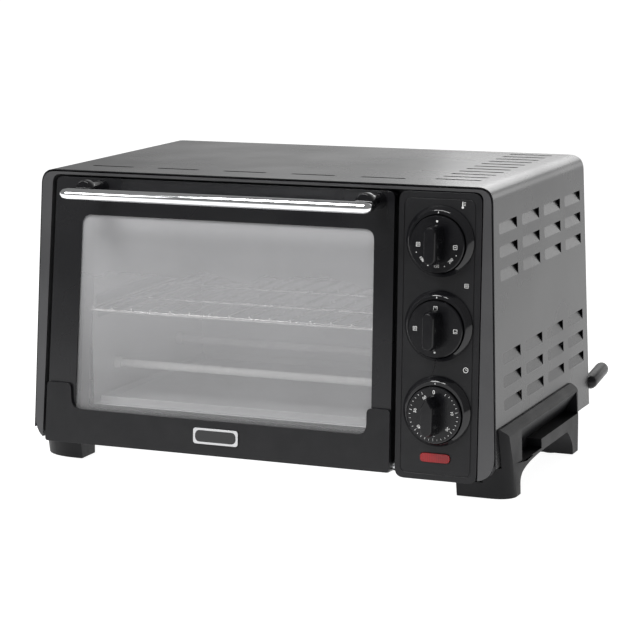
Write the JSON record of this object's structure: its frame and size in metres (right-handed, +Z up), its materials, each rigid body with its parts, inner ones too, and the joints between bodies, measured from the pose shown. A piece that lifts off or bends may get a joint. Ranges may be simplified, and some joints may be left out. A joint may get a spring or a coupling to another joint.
{
  "type": "toaster oven",
  "caption": "Compact countertop toaster oven with a tapered black case, drop-down glass door with a bright bar handle, three dial knobs, wire rack and side feet.",
  "frame": {"origin": "on the worktop, under the middle of the whole oven with its handle and rear spacers", "axes": "+X to the right of a person facing the door, the door and knobs face -Y, +Z up"},
  "size_m": [0.489, 0.3754, 0.2815],
  "materials": {
    "case_paint": "fine satin powder coat",
    "black_plastic": "fine spark texture",
    "gloss_plastic": "polished",
    "chrome": "bright plate",
    "plated_steel": "zinc plate",
    "aluminised_steel": "dull aluminised sheet",
    "door_glass": "clear tempered",
    "red_lens": "moulded clear red",
    "ceramic": "unglazed",
    "quartz": "satin tube",
    "rubber": "matte",
    "brass": "plain",
    "satin_plate": "satin"
  },
  "bodies": {
    "oven_body": {"outer_case": "case_paint", "rear_panel": "case_paint", "front_frame": "case_paint", "bottom_plate": "plated_steel", "heat_shield": "plated_steel", "rack_guide_left": "plated_steel", "rack_guide_right": "plated_steel", "hinge_pin_left": "plated_steel", "hinge_pin_right": "plated_steel", "rear_screw_1": "plated_steel", "rear_screw_2": "plated_steel", "rear_screw_3": "plated_steel", "rear_screw_4": "plated_steel", "cavity_liner": "aluminised_steel", "crumb_tray": "aluminised_steel", "thermostat_bulb": "brass", "timer_bell": "brass", "cord_gland": "black_plastic", "side_moulding_right": "black_plastic", "side_moulding_left": "black_plastic", "rear_spacer_left": "black_plastic", "rear_spacer_right": "black_plastic", "control_panel": "black_plastic", "thermostat_bezel": "gloss_plastic", "function_bezel": "gloss_plastic", "timer_bezel": "gloss_plastic", "terminal_block": "ceramic", "thermostat_body": "ceramic", "function_switch_body": "ceramic", "timer_body": "satin_plate", "heating_rod_lower_front": "quartz", "heating_rod_lower_rear": "quartz", "heating_rod_upper_front": "quartz", "heating_rod_upper_rear": "quartz", "neon_lamp": "quartz", "foot_pad_front_left": "rubber", "foot_pad_front_right": "rubber", "foot_pad_rear_left": "rubber", "foot_pad_rear_right": "rubber", "pilot_lens": "red_lens"},
    "door": {"door_frame": "case_paint", "door_glass": "door_glass", "door_inner_frame": "case_paint", "door_trim": "black_plastic", "badge_plate": "satin_plate", "handle_bar": "chrome", "handle_standoff_left": "gloss_plastic", "handle_standoff_right": "gloss_plastic", "rack_hook_left": "plated_steel", "rack_hook_right": "plated_steel"},
    "rack": {"wire_rack": "chrome"},
    "thermostat_control": {"thermostat_knob": "black_plastic", "thermostat_shaft": "plated_steel"},
    "function_control": {"function_knob": "black_plastic", "function_shaft": "plated_steel"},
    "timer_control": {"timer_knob": "black_plastic", "timer_shaft": "plated_steel"}
  },
  "joints": [
    {"name": "door_hinge", "type": "hinge", "parent": "oven_body", "child": "door", "pos_m": [0, -0.14606, 0.02603], "axis": [1, 0, 0], "range_deg": [0, 84]},
    {"name": "rack_slide", "type": "slide", "parent": "oven_body", "child": "rack", "axis": [0, -1, 0], "range_m": [0, 0.09]},
    {"name": "thermostat_turn", "type": "hinge", "parent": "oven_body", "child": "thermostat_control", "pos_m": [0.1788, -0.14228, 0.23055], "axis": [0, 0.9983, -0.0576], "range_deg": [0, 270]},
    {"name": "function_turn", "type": "hinge", "parent": "oven_body", "child": "function_control", "pos_m": [0.1788, -0.14663, 0.15508], "axis": [0, 0.9983, -0.0576], "range_deg": [0, 270]},
    {"name": "timer_turn", "type": "hinge", "parent": "oven_body", "child": "timer_control", "pos_m": [0.1788, -0.15106, 0.07831], "axis": [0, 0.9983, -0.0576], "range_deg": [0, 300]}
  ],
  "couplings": [
    {"joint": "rack_slide", "follows": "door_hinge", "m_per_rad": 0.06}
  ]
}
